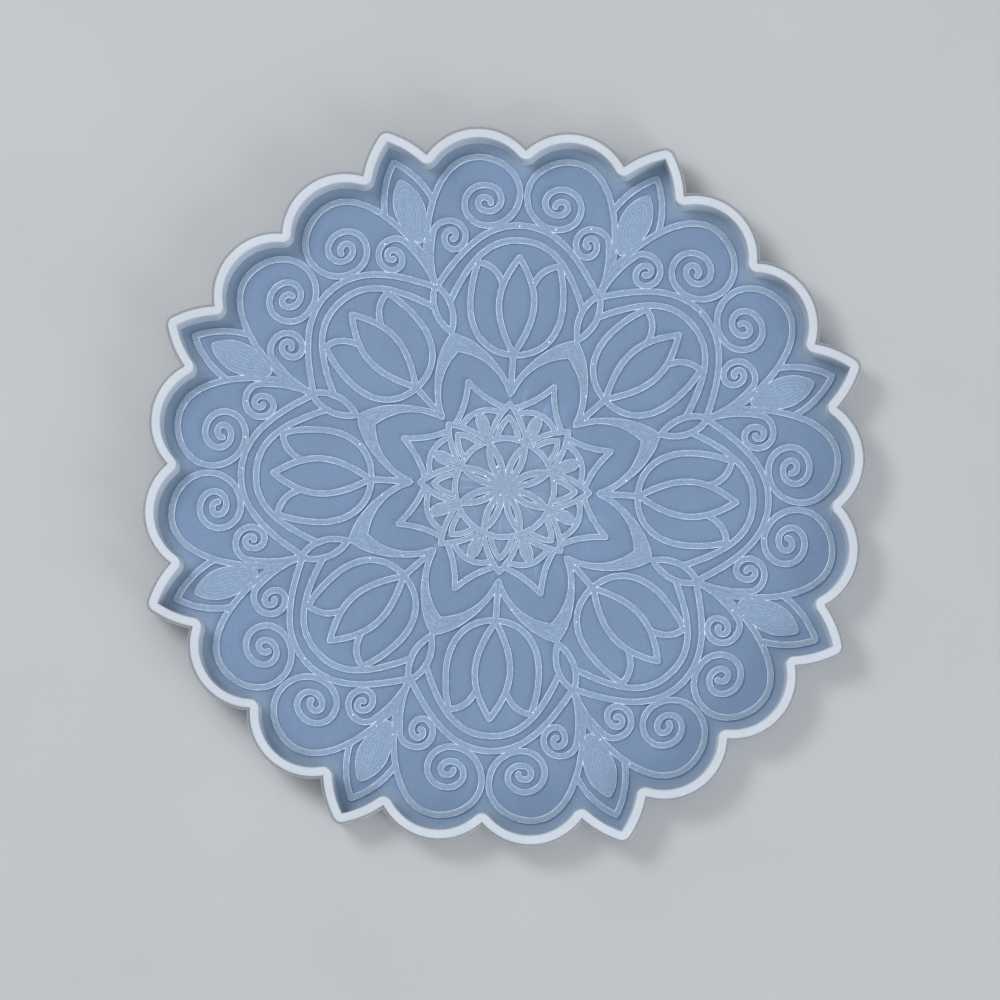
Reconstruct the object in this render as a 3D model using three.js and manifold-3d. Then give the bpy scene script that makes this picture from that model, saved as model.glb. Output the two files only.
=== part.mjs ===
// Resin casting mould for a scalloped tray: one shallow silicone moulding with a floor, an
// upright wall, a thin flash lip round the top of the wall, and a raised mandala on the floor
// that the resin takes as grooves. Each zone of the moulding is a solid of its own.
//
// Millimetres, +Z up. The origin is the middle of the underside. The pattern has eight equal
// sectors, each the same on both sides of its middle line. +Y is the middle line of the first
// sector, the tulip line; the leaf line lies half a sector clockwise from it.

import * as THREE from 'three';
import { mergeVertices } from 'three/addons/utils/BufferGeometryUtils.js';
import Module from 'manifold-3d';

const wasm = await Module();
wasm.setup();

// Driving dimensions.
const SECTORS = 8;
const FLOOR_THICKNESS = 2.5;
const MOULD_HEIGHT = 11;
const RELIEF_HEIGHT = 0.8;
const WALL_THICKNESS = 2.3;
const LIP_REACH = 0.8;
const LIP_THICKNESS = 0.4;
const RIDGE_WIDTH = 1.75;
const FINE_RIDGE_WIDTH = 1.6;
const JOINT_GAP = 0.3;

// Outer outline of the wall: a round scallop on each side of the tulip line, and a pointed
// leaf on the leaf line.
const VALLEY_RADIUS = 93.5;
const SCALLOP_CENTRE = [12.6, 81.35];
const SCALLOP_RADIUS = 17.5;
const LEAF_SIDE_CENTRE = [45.45, 68.05];
const LEAF_SIDE_RADIUS = 28.85;
const LEAF_TIP_ROUNDING = 2.4;

const SECTOR_ANGLE = (2 * Math.PI) / SECTORS;
const LEAF_ANGLE = SECTOR_ANGLE / 2;
const RELIEF_TOP = FLOOR_THICKNESS + RELIEF_HEIGHT;
const CUTTER_CLEARANCE = 1;
const SAME_POINT = 0.01;

const SILICONE = { color: 0x8fa3bd, roughness: 0.35, metalness: 0 };
const WALL_SILICONE = { color: 0xcdd7e1, roughness: 0.4, metalness: 0 };
const LIP_SILICONE = { color: 0xaab4c0, roughness: 0.25, metalness: 0 };

// ---- Points in the plane ----

const rotate = ([x, y], angle) => [
  x * Math.cos(angle) - y * Math.sin(angle),
  x * Math.sin(angle) + y * Math.cos(angle),
];

const mirror = ([x, y]) => [-x, y];

// Drops a point that repeats the one before it, so that joined lists make one clean line.
function joinLines(...lines) {
  const joined = [];
  for (const point of lines.flat()) {
    const last = joined[joined.length - 1];
    if (!last || Math.hypot(point[0] - last[0], point[1] - last[1]) > SAME_POINT) joined.push(point);
  }
  return joined;
}

function bezier(start, startHandle, endHandle, end, steps, from = 0, to = 1) {
  const vectors = [start, startHandle, endHandle, end].map(([x, y]) => new THREE.Vector2(x, y));
  const curve = new THREE.CubicBezierCurve(...vectors);
  const points = [];
  for (let i = 0; i <= steps; i += 1) {
    const { x, y } = curve.getPoint(from + ((to - from) * i) / steps);
    points.push([x, y]);
  }
  return points;
}

function arc([x, y], radius, from, to, steps) {
  const points = [];
  for (let i = 0; i <= steps; i += 1) {
    const angle = from + ((to - from) * i) / steps;
    points.push([x + radius * Math.cos(angle), y + radius * Math.sin(angle)]);
  }
  return points;
}

// A scroll winds through its outermost points in turn: top, left, bottom, right and so on.
// Each stretch between two of them is a quarter of an ellipse.
function scrollLine(extremes, steps) {
  const quarters = [];
  for (let i = 0; i + 1 < extremes.length; i += 1) {
    const [startX, startY] = extremes[i];
    const [endX, endY] = extremes[i + 1];
    const leavesSideways = i % 2 === 0;
    for (let step = 0; step <= steps; step += 1) {
      const turn = (Math.PI / 2) * (step / steps);
      const near = 1 - Math.cos(turn);
      const far = Math.sin(turn);
      const alongX = leavesSideways ? far : near;
      const alongY = leavesSideways ? near : far;
      quarters.push([startX + (endX - startX) * alongX, startY + (endY - startY) * alongY]);
    }
  }
  return quarters;
}

// The unit normal to the left of a line at one of its points.
function normalAt(points, i, closed) {
  const count = points.length;
  const before = closed ? points[(i + count - 1) % count] : points[Math.max(i - 1, 0)];
  const after = closed ? points[(i + 1) % count] : points[Math.min(i + 1, count - 1)];
  const here = points[i];
  const unit = ([ax, ay], [bx, by]) => {
    const length = Math.hypot(bx - ax, by - ay) || 1;
    return [(bx - ax) / length, (by - ay) / length];
  };
  const [inX, inY] = unit(before, here);
  const [outX, outY] = unit(here, after);
  const tangentX = inX + outX;
  const tangentY = inY + outY;
  const length = Math.hypot(tangentX, tangentY);
  const atEnd = !closed && (i === 0 || i === count - 1);
  const mitre = atEnd ? 1 : Math.max(length / 2, 0.5);
  return [-tangentY / length / mitre, tangentX / length / mitre];
}

function offsetLine(points, distance, closed = false) {
  return points.map((point, i) => {
    const [normalX, normalY] = normalAt(points, i, closed);
    return [point[0] + normalX * distance, point[1] + normalY * distance];
  });
}

// ---- Solids ----

function toSolid(geometry) {
  geometry.deleteAttribute('normal');
  geometry.deleteAttribute('uv');
  const merged = mergeVertices(geometry, 1e-4);
  const vertProperties = merged.attributes.position.array;
  const triVerts = Uint32Array.from(merged.index.array);
  return new wasm.Manifold(new wasm.Mesh({ numProp: 3, vertProperties, triVerts }));
}

// Corners a hair apart, left where ridges cross, become one corner. A triangle that shrinks to
// a line this way is left out.
function toGeometry(solid) {
  const { vertProperties, triVerts } = solid.getMesh();
  const crossed = new THREE.BufferGeometry();
  crossed.setAttribute('position', new THREE.BufferAttribute(vertProperties, 3));
  crossed.setIndex(new THREE.BufferAttribute(triVerts, 1));
  const geometry = mergeVertices(crossed, SAME_POINT);
  const corners = [...geometry.index.array];
  const kept = [];
  for (let i = 0; i < corners.length; i += 3) {
    const triangle = corners.slice(i, i + 3);
    if (new Set(triangle).size === 3) kept.push(...triangle);
  }
  geometry.setIndex(kept);
  geometry.computeVertexNormals();
  return geometry;
}

const toVectors = (points) => points.map(([x, y]) => new THREE.Vector2(x, y));

function counterclockwise(points) {
  return THREE.ShapeUtils.isClockWise(toVectors(points)) ? [...points].reverse() : points;
}

function plate(outline, bottom, top, holes = []) {
  const shape = new THREE.Shape(toVectors(counterclockwise(outline)));
  shape.holes = holes.map((hole) => new THREE.Path(toVectors(hole)));
  const geometry = new THREE.ExtrudeGeometry(shape, { depth: top - bottom, bevelEnabled: false });
  geometry.translate(0, 0, bottom);
  return geometry;
}

const reliefPlate = (outline, holes) => toSolid(plate(outline, FLOOR_THICKNESS, RELIEF_TOP, holes));

// A cutter clears a feature's shape, grown by the joint gap, out of its neighbour.
function cutterPlate(outline) {
  const bottom = FLOOR_THICKNESS - CUTTER_CLEARANCE;
  return toSolid(plate(outline, bottom, RELIEF_TOP + CUTTER_CLEARANCE));
}

// The outline of an even band along a line, with blunt ends.
function bandOutline(points, width) {
  const half = width / 2;
  const left = offsetLine(points, half);
  const right = offsetLine(points, -half);
  return [...right, ...left.reverse()];
}

// An even band round a closed line.
function closedRidge(points) {
  const line = counterclockwise(points);
  const outside = offsetLine(line, -RIDGE_WIDTH / 2, true);
  const inside = offsetLine(line, RIDGE_WIDTH / 2, true);
  return reliefPlate(outside, [inside]);
}

// The same line run out a little at both ends, so that a cutter clears past a blunt end.
function stretchEnds(points, reach) {
  const runOut = ([fromX, fromY], [toX, toY]) => {
    const scale = reach / Math.hypot(toX - fromX, toY - fromY);
    return [toX + (toX - fromX) * scale, toY + (toY - fromY) * scale];
  };
  const start = runOut(points[1], points[0]);
  const end = runOut(points[points.length - 2], points[points.length - 1]);
  return [start, ...points.slice(1, -1), end];
}

const ridge = (points, width = RIDGE_WIDTH) => reliefPlate(bandOutline(points, width));

const ridgeCutter = (points, width = RIDGE_WIDTH) =>
  cutterPlate(bandOutline(stretchEnds(points, JOINT_GAP), width + 2 * JOINT_GAP));

const unite = (solids) => solids.reduce((sum, solid) => sum.add(solid));

const aroundSectors = (make) => Array.from({ length: SECTORS }, (_, k) => make(-k * SECTOR_ANGLE));

const turnLine = (line, angle) => line.map((point) => rotate(point, angle));

const mirrorLine = (line) => line.map(mirror);

// A line on the right of the tulip line, seen from the leaf line, and the other way round.
const fromLeafLine = (line) => turnLine(line, LEAF_ANGLE);

const fromTulipLine = (line) => turnLine(line, -LEAF_ANGLE);

// ---- Wall outline ----

// Where two circles cross, on the side away from the middle of the mould.
function outerCrossing([ax, ay], radiusA, [bx, by], radiusB) {
  const apart = Math.hypot(bx - ax, by - ay);
  const along = (apart * apart + radiusA * radiusA - radiusB * radiusB) / (2 * apart);
  const across = Math.sqrt(radiusA * radiusA - along * along);
  const [unitX, unitY] = [(bx - ax) / apart, (by - ay) / apart];
  return [ax + unitX * along - unitY * across, ay + unitY * along + unitX * across];
}

const angleFrom = ([x, y], point) => Math.atan2(point[1] - y, point[0] - x);

// Half a sector of the wall's outline, from the tulip line to the leaf line, moved outwards
// by offset. A valley keeps its point when moved outwards and is rounded when moved inwards.
function halfOutline(offset) {
  const scallopRadius = SCALLOP_RADIUS + offset;
  const leafRadius = LEAF_SIDE_RADIUS + offset;
  const tulipValley = [0, VALLEY_RADIUS];
  const leafValley = outerCrossing(SCALLOP_CENTRE, SCALLOP_RADIUS, LEAF_SIDE_CENTRE, LEAF_SIDE_RADIUS);
  const [leafX, leafY] = rotate(LEAF_SIDE_CENTRE, LEAF_ANGLE);
  const rounding = LEAF_TIP_ROUNDING + offset;
  const toTip = LEAF_SIDE_RADIUS - LEAF_TIP_ROUNDING;
  const tipCentre = [0, leafY + Math.sqrt(toTip * toTip - leafX * leafX)];
  const tipAngle = Math.atan2(tipCentre[1] - leafY, -leafX);
  const tip = fromTulipLine(arc(tipCentre, rounding, tipAngle, Math.PI / 2, 1));
  const sideEnd = tipAngle - LEAF_ANGLE;

  if (offset < 0) {
    const valleyTurn = angleFrom(tulipValley, SCALLOP_CENTRE);
    const leafTurns = [SCALLOP_CENTRE, LEAF_SIDE_CENTRE].map((c) => angleFrom(leafValley, c));
    return joinLines(
      arc(tulipValley, -offset, -Math.PI / 2, valleyTurn, 1),
      arc(SCALLOP_CENTRE, scallopRadius, valleyTurn + Math.PI, leafTurns[0] + Math.PI, 5),
      arc(leafValley, -offset, leafTurns[0], leafTurns[1], 2),
      arc(LEAF_SIDE_CENTRE, leafRadius, leafTurns[1] + Math.PI, sideEnd, 2),
      tip,
    );
  }
  const height = Math.sqrt(scallopRadius ** 2 - SCALLOP_CENTRE[0] ** 2);
  const start = [0, SCALLOP_CENTRE[1] + height];
  const valley = outerCrossing(SCALLOP_CENTRE, scallopRadius, LEAF_SIDE_CENTRE, leafRadius);
  const scallopFrom = angleFrom(SCALLOP_CENTRE, start);
  const scallopTo = angleFrom(SCALLOP_CENTRE, valley);
  const sideFrom = angleFrom(LEAF_SIDE_CENTRE, valley);
  return joinLines(
    arc(SCALLOP_CENTRE, scallopRadius, scallopFrom, scallopTo, 6),
    arc(LEAF_SIDE_CENTRE, leafRadius, sideFrom, sideEnd, 2),
    tip,
  );
}

// A line that starts on its middle line, joined to its mirror image.
const across = (half) => joinLines(mirrorLine(half).reverse(), half);

// One half sector repeated round the mould, each time with its mirror image.
function wholeOutline(half) {
  const outline = joinLines(...aroundSectors((angle) => turnLine(across(half), angle)));
  const [first, last] = [outline[0], outline[outline.length - 1]];
  const meets = Math.hypot(first[0] - last[0], first[1] - last[1]) < SAME_POINT;
  return meets ? outline.slice(1) : outline;
}

const wallOutside = wholeOutline(halfOutline(0));
const wallInside = wholeOutline(halfOutline(-WALL_THICKNESS));
const lipOutside = wholeOutline(halfOutline(LIP_REACH));

// ---- Lines of the mandala, from the tulip line to the right ----

const medallionOuter = bezier([0, 73.4], [9.5, 73.4], [16, 66.5], [22.62, 54.66], 5);
const medallionInner = bezier([0, 69.2], [7.6, 69.2], [13.2, 65], [18.6, 50.65], 4);

const tulipMiddle = bezier([0, 64.4], [6.5, 55.2], [6.5, 48], [0, 37.4], 5);
const tulipShoulder = bezier([4.4, 57.2], [5.8, 60.6], [8.5, 62.4], [11.8, 62.5], 2);
const tulipSide = joinLines(
  bezier([0, 37.1], [8, 37.1], [12.9, 43], [12.9, 52], 3),
  bezier([12.9, 52], [12.9, 56], [12.4, 59.5], [11.3, 62.6], 2),
);
const tulipStem = [[0, 37], [0, 29.5]];

// The petals leave a slot for the foot of the tulip's stem, and end in a blunt tip.
const petalOutside = [
  [0, 29.2], [1.2, 29.2],
  ...bezier([1.2, 30.5], [4.2, 34.8], [9.5, 41], [17.6, 42.4], 4, 0, 0.97),
];
const petalInside = joinLines(
  [[0, 25.3]],
  bezier([0.95, 26.2], [3.4, 32.6], [8.8, 36.4], [15.3, 36.95], 4),
);

const archOuter = bezier([0, 23.5], [2.5, 20.9], [4.3, 16.8], [5.2, 12.6], 3);
const archInner = bezier([0, 19.6], [1.5, 18.4], [2.6, 16.2], [3, 13.3], 2);
const hubRing = bezier([0, 13.8], [2.2, 13.8], [3.9, 13.2], [5.2, 12.5], 1);

// The big scroll and the leaf share one long line: it rises beside the leaf and turns into
// the scroll.
const risingLine = [[26.1, 71.5], [25.8, 80], [22.5, 91.9], [12.6, 91.9]];
const LEAF_SHARE = 0.29;
const SCROLL_SHARE = 0.33;
const bigScrollTurns = [[12.6, 91.9], [1, 82], [9.9, 72.8], [16.3, 78.8], [10.7, 84.15]];
const bigScrollHeart = [[10.7, 84.15], [6.15, 80.3], [9.7, 76.85], [12.55, 79.1], [10.8, 80.7], [9, 79.2]];
const bigScroll = joinLines(
  bezier(...risingLine, 3, SCROLL_SHARE, 1),
  scrollLine(bigScrollTurns, 3),
  scrollLine(bigScrollHeart, 2),
);

const smallScrollTurns = [
  [19.9, 73.55], [15.4, 69.2], [18.5, 65.6], [21.3, 68.7],
  [19.4, 70.95], [18.1, 69.5], [18.9, 68.5],
];
const smallScroll = joinLines(
  bezier([23.3, 57], [24.7, 60.4], [25.1, 65.2], [24.6, 69.4], 2),
  bezier([24.6, 69.4], [24.6, 71.7], [22.5, 73.55], [19.9, 73.55], 2),
  scrollLine(smallScrollTurns, 2),
);

// ---- Lines of the mandala, from the leaf line to the left ----

const lensSide = bezier([0, 59.6], [-3.2, 56], [-3, 50], [0, 46], 4);
const lensFoot = [[-3, 45.8], [3, 45.8], [3, 42], [-3, 42]];
const leafOutline = bezier([0, 96.1], [-3.3, 93], [-6, 88.2], [-6.9, 83.2], 3);
const leafBorder = joinLines(
  fromLeafLine(bezier(...risingLine, 2, 0, LEAF_SHARE)).reverse(),
  [[-2.1, 73], [-0.9, 68]],
);
const leafBlade = joinLines(
  bezier([0, 72.2], [-2.2, 72.4], [-4.35, 78.5], [-4.35, 82], 3),
  bezier([-4.35, 82], [-4.35, 86.5], [-1.6, 90], [0, 90.9], 3),
);
const leafStem = [[0, 61.3], [-0.7, 61.3], [-0.8, 63], [-2.2, 69], [-2.4, 72.6], [-0.75, 72.4], [0, 70.5]];
const starSide = bezier([0, 31.2], [-1.25, 28.5], [-3, 24.9], [-6.9, 21.4], 3);
const shellSide = bezier([0, 22.4], [-2, 22.4], [-4, 21.6], [-5.4, 20.4], 2);
const spokeSide = bezier([0, 2], [-1.65, 5.4], [-1.6, 9], [0, 12.5], 3);
const dropSide = [[0, 13], [-0.8, 13], [-1.85, 17.2], [-1.8, 19.2], [-1.2, 22], [0, 22]];

const bothSides = (line) => [line, mirrorLine(line)];

const cutAway = (solid, cutters) => cutters.reduce((rest, cutter) => rest.subtract(cutter), solid);

// ---- Features of the mandala ----

function petalRing() {
  return reliefPlate(wholeOutline(petalOutside), [wholeOutline(petalInside)]);
}

// The eight medallion frames with the eight lenses between them. The foot of each lens is cut
// square, a gap short of the petal's tip.
function medallionRing() {
  const lens = across(lensSide).slice(0, -1);
  const sectors = aroundSectors((angle) => [
    ridge(turnLine(across(medallionOuter), angle)),
    ridge(turnLine(across(medallionInner), angle)),
    closedRidge(turnLine(fromTulipLine(lens), angle)),
  ]);
  const feet = aroundSectors((angle) => cutterPlate(turnLine(fromTulipLine(lensFoot), angle)));
  return cutAway(unite(sectors.flat()), feet);
}

function rosette() {
  const hub = reliefPlate(arc([0, 0], 3.2, 0, 2 * Math.PI, 2 * SECTORS).slice(0, -1));
  const spokes = bothSides(spokeSide).map(fromTulipLine);
  const arches = [across(archOuter), across(archInner)];
  const lines = [...arches, across(hubRing), ...spokes, fromTulipLine(across(shellSide))];
  const drop = fromTulipLine(across(dropSide).slice(0, -1));
  const sectors = aroundSectors((angle) => [
    ...lines.map((line) => ridge(turnLine(line, angle), FINE_RIDGE_WIDTH)),
    reliefPlate(turnLine(drop, angle)),
  ]);
  return unite([hub, ...sectors.flat()]);
}

function tulip() {
  const lines = [across(tulipSide), ...bothSides(tulipShoulder), tulipStem];
  const middle = closedRidge(across(tulipMiddle).slice(1));
  const frame = ridgeCutter(across(medallionInner));
  return cutAway(unite([middle, ...lines.map((line) => ridge(line))]), [frame]);
}

const bigScrollOn = (line) => cutAway(ridge(line), [ridgeCutter(across(medallionOuter))]);

// A point of the star springs from the shell under it and from the arches on both sides.
function starPoint() {
  const arch = fromLeafLine(across(archOuter));
  const roots = [across(shellSide), ...bothSides(arch)];
  const cutters = roots.map((line) => ridgeCutter(line, FINE_RIDGE_WIDTH));
  return cutAway(ridge(across(starSide), FINE_RIDGE_WIDTH), cutters);
}

// A leaf on its stem, with a small scroll on each side.
function leafSprig() {
  const sides = [leafBorder, fromLeafLine(smallScroll)].flatMap(bothSides);
  const ridges = [across(leafOutline), ...sides].map((line) => ridge(line));
  const solids = [leafBlade, leafStem].map((side) => reliefPlate(across(side).slice(0, -1)));
  const neighbours = [across(medallionOuter), bigScroll].map(fromLeafLine).flatMap(bothSides);
  return cutAway(unite([...ridges, ...solids]), neighbours.map((line) => ridgeCutter(line)));
}

// ---- The mould ----

const mould = new THREE.Group();

function addPart(name, geometry, finish, angle = 0) {
  const mesh = new THREE.Mesh(geometry, new THREE.MeshStandardMaterial(finish));
  mesh.name = name;
  const sector = new THREE.Group();
  sector.rotation.z = angle;
  sector.add(mesh);
  mould.add(sector);
}

const lipBottom = MOULD_HEIGHT - LIP_THICKNESS;
addPart('floor_plate', plate(wallOutside, 0, FLOOR_THICKNESS), SILICONE);
addPart('rim_wall', plate(wallOutside, FLOOR_THICKNESS, MOULD_HEIGHT, [wallInside]), WALL_SILICONE);
addPart('outer_lip', plate(lipOutside, lipBottom, MOULD_HEIGHT, [wallOutside]), LIP_SILICONE);

addPart('petal_ring', toGeometry(petalRing()), SILICONE);
addPart('medallion_ring', toGeometry(medallionRing()), SILICONE);
addPart('rosette', toGeometry(rosette()), SILICONE);

const sectorFeatures = [
  ['tulip', tulip(), 0],
  ['scroll_right', bigScrollOn(bigScroll), 0],
  ['scroll_left', bigScrollOn(mirrorLine(bigScroll)), 0],
  ['star_point', starPoint(), -LEAF_ANGLE],
  ['leaf_sprig', leafSprig(), -LEAF_ANGLE],
];
for (const [name, solid, startAngle] of sectorFeatures) {
  for (let k = 0; k < SECTORS; k += 1) {
    addPart(`${name}_${k + 1}`, toGeometry(solid), SILICONE, startAngle - k * SECTOR_ANGLE);
  }
}

export default mould;
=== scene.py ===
"""Looks of the resin casting mould: a milky silicone shell with a flat rim, a thin clear flash
lip, and a relief of even rounded ridges on its floor.

Lengths in the outlines are millimetres, like the CAD part's, and turn into metres when a mesh
is made. The pattern has eight equal sectors, each the same on both sides of its middle line,
the tulip line along +Y. The leaf line lies half a sector clockwise from it. The relief is
planned once, in the half sector between the two lines, then mirrored and turned.
"""

import math

import bpy
import numpy as np
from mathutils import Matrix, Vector
from mathutils.geometry import delaunay_2d_cdt


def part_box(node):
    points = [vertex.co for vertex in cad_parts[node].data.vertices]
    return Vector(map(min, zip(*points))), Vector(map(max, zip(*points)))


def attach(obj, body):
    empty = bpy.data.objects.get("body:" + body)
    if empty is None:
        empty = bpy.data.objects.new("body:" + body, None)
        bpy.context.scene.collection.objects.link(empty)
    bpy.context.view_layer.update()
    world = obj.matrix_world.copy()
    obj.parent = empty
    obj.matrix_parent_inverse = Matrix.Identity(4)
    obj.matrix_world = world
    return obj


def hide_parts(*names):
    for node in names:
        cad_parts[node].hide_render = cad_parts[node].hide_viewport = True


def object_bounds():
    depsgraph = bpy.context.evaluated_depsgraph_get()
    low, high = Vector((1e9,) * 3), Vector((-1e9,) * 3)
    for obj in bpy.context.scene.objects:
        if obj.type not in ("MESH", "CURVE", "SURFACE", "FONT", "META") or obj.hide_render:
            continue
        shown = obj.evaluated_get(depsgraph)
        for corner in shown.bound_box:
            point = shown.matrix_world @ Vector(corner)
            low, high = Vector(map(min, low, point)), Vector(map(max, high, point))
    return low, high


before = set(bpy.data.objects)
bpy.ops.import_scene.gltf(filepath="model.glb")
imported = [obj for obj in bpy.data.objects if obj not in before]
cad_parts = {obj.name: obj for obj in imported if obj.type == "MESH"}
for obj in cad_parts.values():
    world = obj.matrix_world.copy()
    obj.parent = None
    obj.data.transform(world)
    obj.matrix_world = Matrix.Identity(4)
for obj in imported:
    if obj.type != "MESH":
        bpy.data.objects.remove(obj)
cad_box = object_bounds()

MM = 0.001
SECTORS = 8
SECTOR_ANGLE = 2 * math.pi / SECTORS
LEAF_ANGLE = SECTOR_ANGLE / 2

FLOOR_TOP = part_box("floor_plate")[1].z / MM
RIM_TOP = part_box("rim_wall")[1].z / MM
LIP_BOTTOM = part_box("outer_lip")[0].z / MM
RELIEF_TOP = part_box("petal_ring")[1].z / MM
CAD_REACH = max(abs(cad_box[0].x), abs(cad_box[1].y)) / MM

# ---- Sizes of the shell, in millimetres ----

VALLEY_RADIUS = 93.5
SCALLOP_CENTRE = np.array([12.6, 81.35])
SCALLOP_RADIUS = 17.5
LEAF_SIDE_CENTRE = np.array([45.45, 68.05])
LEAF_SIDE_RADIUS = 28.85
LEAF_TIP_ROUNDING = 2.4
WALL_THICKNESS = 2.45
DRAFT = 0.45
WALL_FOOT = WALL_THICKNESS + DRAFT
FILLET = 0.2
EDGE_ROUNDING = 0.3
LIP_REACH = 0.7

# ---- Sizes of the relief, in millimetres ----

RIDGE_HALF = 1.75 / 2
FINE_HALF = 1.6 / 2
SPOKE_HALF = 0.95
SHOULDER = 0.24
SHOULDER_DROP = 0.8 * SHOULDER
SKIRT_DEPTH = 0.06

# ---- Fineness of the meshes, in millimetres or as shares of a length ----

STEP = 0.8
FINE_STEP = 0.45
TIP_STEP = 0.3
GRID_STEP = 0.75
SAME_PLACE = 0.002
SHOULDER_LINES = (0, 0.08, SHOULDER)
OUTSIDE_ROWS = (3.5, 7)
RIM_ROWS = (0.8, 1.4)
WALL_ROWS = (0.15, 0.35, 0.6, 0.8, 1)
FLOOR_ROWS = (0.985, 0.965, 0.93, 0.88, 0.8, 0.7, 0.58, 0.45, 0.32, 0.2, 0.1, 0.03, 0)
SHARP_ANGLE = math.radians(50)

# ---- Air bubbles, in millimetres: where they may sit right of a tulip line ----

BUBBLE_SEED = 4
BUBBLE_SPOTS = (
    (0.9, 2.2), (2.6, 5.5), (3, 13.4), (0.7, 29.3), (4.2, 33.8), (1, 37.9), (9.7, 41.2),
    (4.2, 57.6), (12.1, 61.8), (22.7, 55.4), (25.1, 67.6), (26.3, 70.4), (19.6, 73.4), (0.8, 73.2),
    (9.6, 72.9), (24.6, 80.4),
)
BUBBLE_CHANCE = 0.34
BUBBLE_WANDER = 0.25
BUBBLE_RADII = (0.16, 0.32)
BUBBLE_SIDES = 8
BUBBLE_ROWS = ((1, 0), (0.86, 0.28), (0.5, 0.46))
BUBBLE_TOP = 0.54
BUBBLE_SINK = 0.05


# ---- Points in the plane ----


def turned(points, angle):
    c, s = math.cos(angle), math.sin(angle)
    return np.asarray(points, float) @ np.array([[c, s], [-s, c]])


def mirrored(points):
    return np.asarray(points, float) * (-1, 1)


def joined(*lines):
    """One line out of several, without the points that repeat the one before."""
    points = np.concatenate([np.asarray(line, float) for line in lines])
    apart = np.linalg.norm(np.diff(points, axis=0), axis=1) > 1e-6
    return points[np.concatenate([[True], apart])]


def bezier(start, first, second, end, share=(0, 1), step=STEP):
    """Points along a cubic curve, about a step apart."""

    def at(t):
        t = t[:, None]
        u = 1 - t
        ends = u**3 * np.array(start) + t**3 * np.array(end)
        return ends + 3 * u * u * t * np.array(first) + 3 * u * t * t * np.array(second)

    rough = at(np.linspace(*share, 33))
    length = np.linalg.norm(np.diff(rough, axis=0), axis=1).sum()
    return at(np.linspace(*share, max(3, math.ceil(length / step)) + 1))


def arc(centre, radius, start, end, count):
    angle = np.linspace(start, end, count + 1)
    return np.asarray(centre) + radius * np.stack([np.cos(angle), np.sin(angle)], 1)


def scroll(*turns):
    """A line winding through its outermost points in turn, a quarter of an ellipse at a time."""
    quarters = []
    for i, (start, end) in enumerate(zip(turns, turns[1:])):
        span = np.subtract(end, start)
        count = max(3, math.ceil(1.2 * np.linalg.norm(span) / FINE_STEP))
        turn = np.linspace(0, math.pi / 2, count + 1)
        near, far = 1 - np.cos(turn), np.sin(turn)
        along = (far, near) if i % 2 == 0 else (near, far)
        quarters.append(np.asarray(start) + span * np.stack(along, 1))
    return joined(*quarters)


def offset_line(points, distance):
    """The line moved to its left by a distance, with square ends."""
    steps = np.diff(points, axis=0)
    steps /= np.linalg.norm(steps, axis=1)[:, None]
    before = np.concatenate([steps[:1], steps])
    after = np.concatenate([steps, steps[-1:]])
    tangent = before + after
    length = np.linalg.norm(tangent, axis=1)[:, None]
    normal = np.stack([-tangent[:, 1], tangent[:, 0]], 1) / length
    return points + normal * distance / np.maximum(length / 2, 0.5)


def end_cap(tip, inner, radius):
    """Half a circle round a line's end, from its right side to its left."""
    ahead = math.atan2(tip[1] - inner[1], tip[0] - inner[0])
    return arc(tip, radius, ahead - math.pi / 2, ahead + math.pi / 2, 7)


def band_loop(points, half):
    """The closed outline of an even band along a line, with round ends."""
    right = offset_line(points, -half)
    left = offset_line(points, half)[::-1]
    far = end_cap(points[-1], points[-2], half)
    near = end_cap(points[0], points[1], half)
    loop = joined(right, far, left, near)
    return np.concatenate([loop, loop[:1]])


def distance_to(points, line):
    """How far each point is from a line of straight pieces."""
    nearest = np.full(len(points), np.inf)
    for a, b in zip(line, line[1:]):
        along = b - a
        reach = np.clip((points - a) @ along / (along @ along), 0, 1)
        nearest = np.minimum(nearest, np.linalg.norm(points - a - reach[:, None] * along, axis=1))
    return nearest


def is_inside(points, loop):
    """Whether each point is inside a closed loop, by how often the loop crosses a line from it."""
    x, y = points[:, 0], points[:, 1]
    inside = np.zeros(len(points), bool)
    for (ax, ay), (bx, by) in zip(loop, loop[1:]):
        if ay == by:
            continue
        crosses = (ay > y) != (by > y)
        inside ^= crosses & (x < ax + (y - ay) * (bx - ax) / (by - ay))
    return inside


# ---- Lines of the relief, from the tulip line to the right ----

RISING_LINE = ([26.1, 71.5], [25.8, 80], [22.5, 91.9], [12.6, 91.9])
LEAF_SHARE = 0.31


def seen_from_leaf(points):
    """A line given on the left of the leaf line, as seen from the tulip line."""
    return turned(points, -LEAF_ANGLE)


def over_leaf_line(points):
    """The mirror image on the other side of the leaf line."""
    return seen_from_leaf(mirrored(turned(points, LEAF_ANGLE)))


def closed(line):
    """A loop from a line and its mirror image."""
    both = joined(line, mirrored(line)[::-1])
    return both if np.allclose(both[0], both[-1]) else np.concatenate([both, both[:1]])


def counterclockwise(loop):
    x, y = loop[:-1, 0], loop[:-1, 1]
    area = (x * np.roll(y, -1) - np.roll(x, -1) * y).sum()
    return loop if area > 0 else loop[::-1]


def petal_loop():
    """The petals of half a sector, run on into the sectors on both sides."""
    outside = joined([[0, 29.3]], bezier([0.8, 29.9], [4, 34.6], [9.5, 41], [17.6, 42.4]))
    inside = joined([[0, 25.3]], bezier([0.95, 26.2], [3.4, 32.6], [8.8, 36.4], [15.3, 36.95]))
    runs = [
        joined(mirrored(line)[::-1], line, over_leaf_line(line)[::-1]) for line in (outside, inside)
    ]
    return joined(runs[0], runs[1][::-1], runs[0][:1])


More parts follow.
